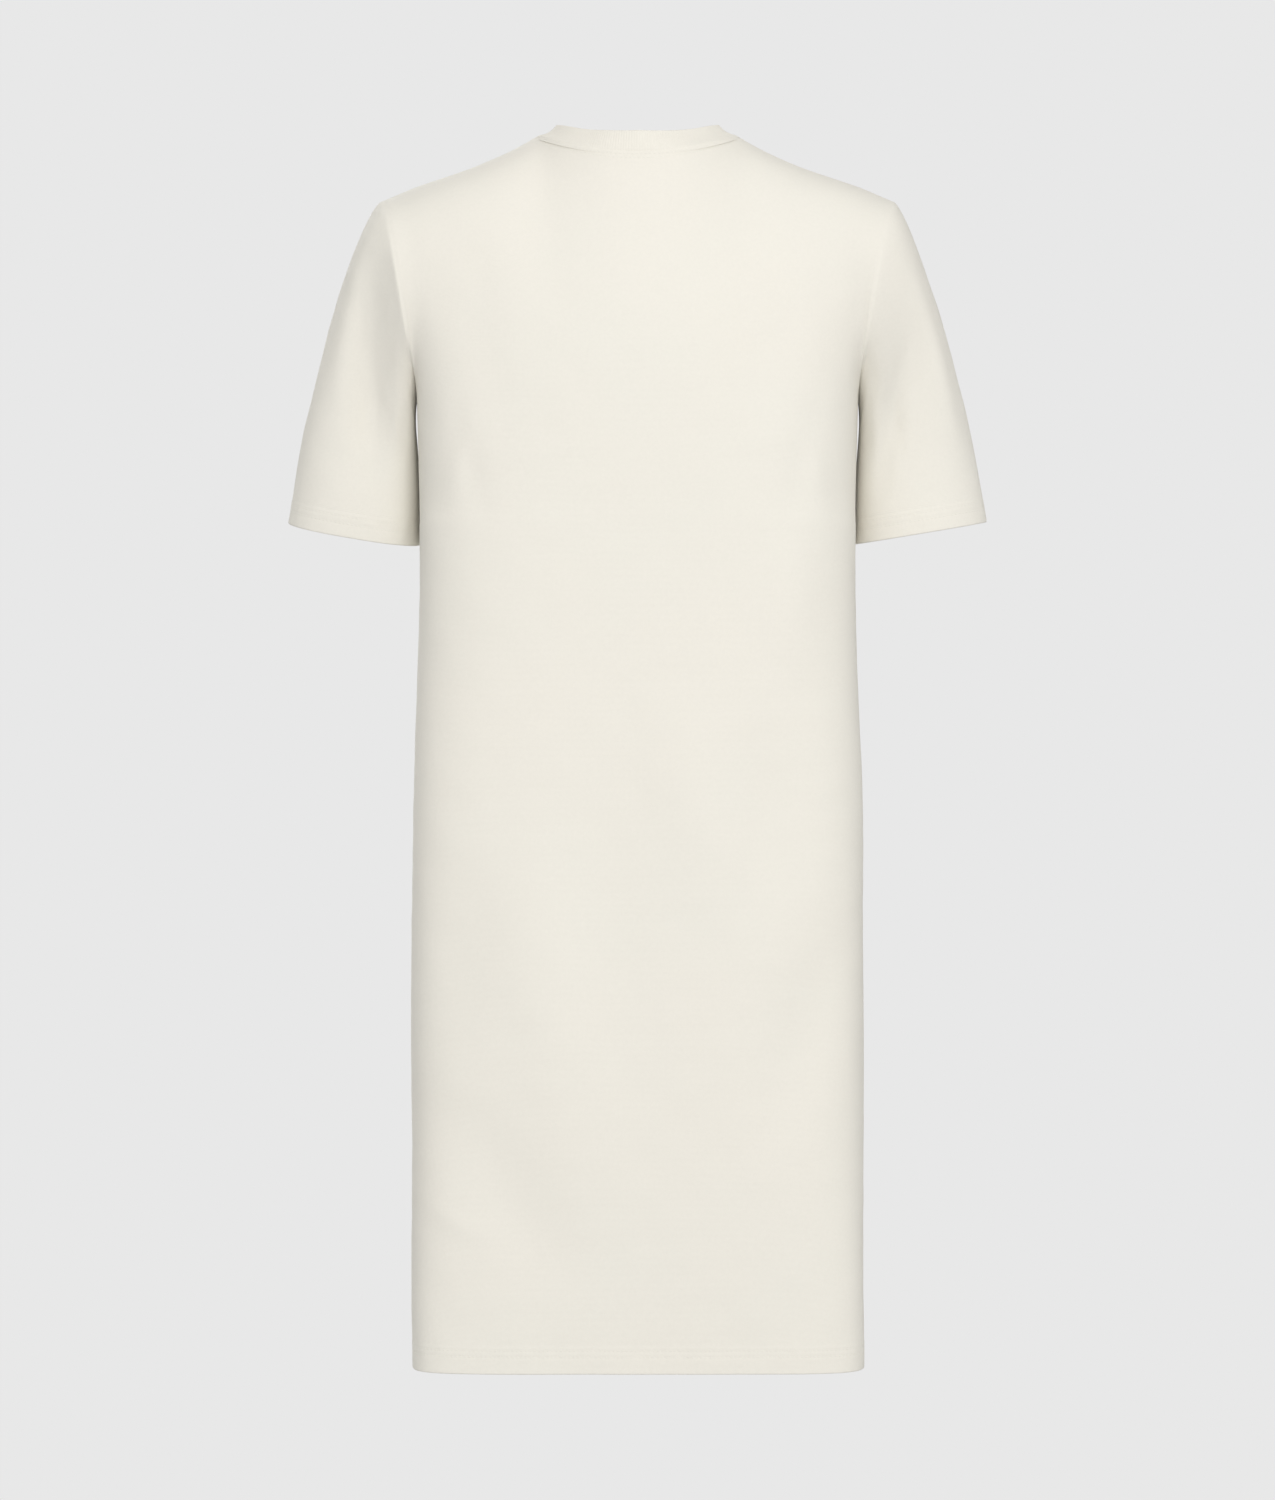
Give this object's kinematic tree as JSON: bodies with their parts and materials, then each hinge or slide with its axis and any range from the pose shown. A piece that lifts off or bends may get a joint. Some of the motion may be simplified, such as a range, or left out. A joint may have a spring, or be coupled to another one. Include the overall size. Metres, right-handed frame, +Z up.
{
  "type": "t-shirt dress",
  "caption": "Crew-neck t-shirt dress with short sleeves and a straight knee-length body, filled out and hollow as it is worn.",
  "frame": {"origin": "midway between the shoulders of the wearer, level with the tops of the shoulder seams beside the neck, where the dress is held up", "axes": "+Z up, the front of the dress faces -Y, and the wearer's left is +X"},
  "size_m": [0.5636, 0.2123, 0.99],
  "materials": {
    "jersey": "matt cotton jersey, fine plain knit, cream",
    "rib": "matt cotton rib, fine and close, cream"
  },
  "bodies": {
    "root": {"back_panel": "jersey", "front_panel": "jersey", "left_sleeve": "jersey", "right_sleeve": "jersey", "neckband": "rib"}
  },
  "joints": []
}
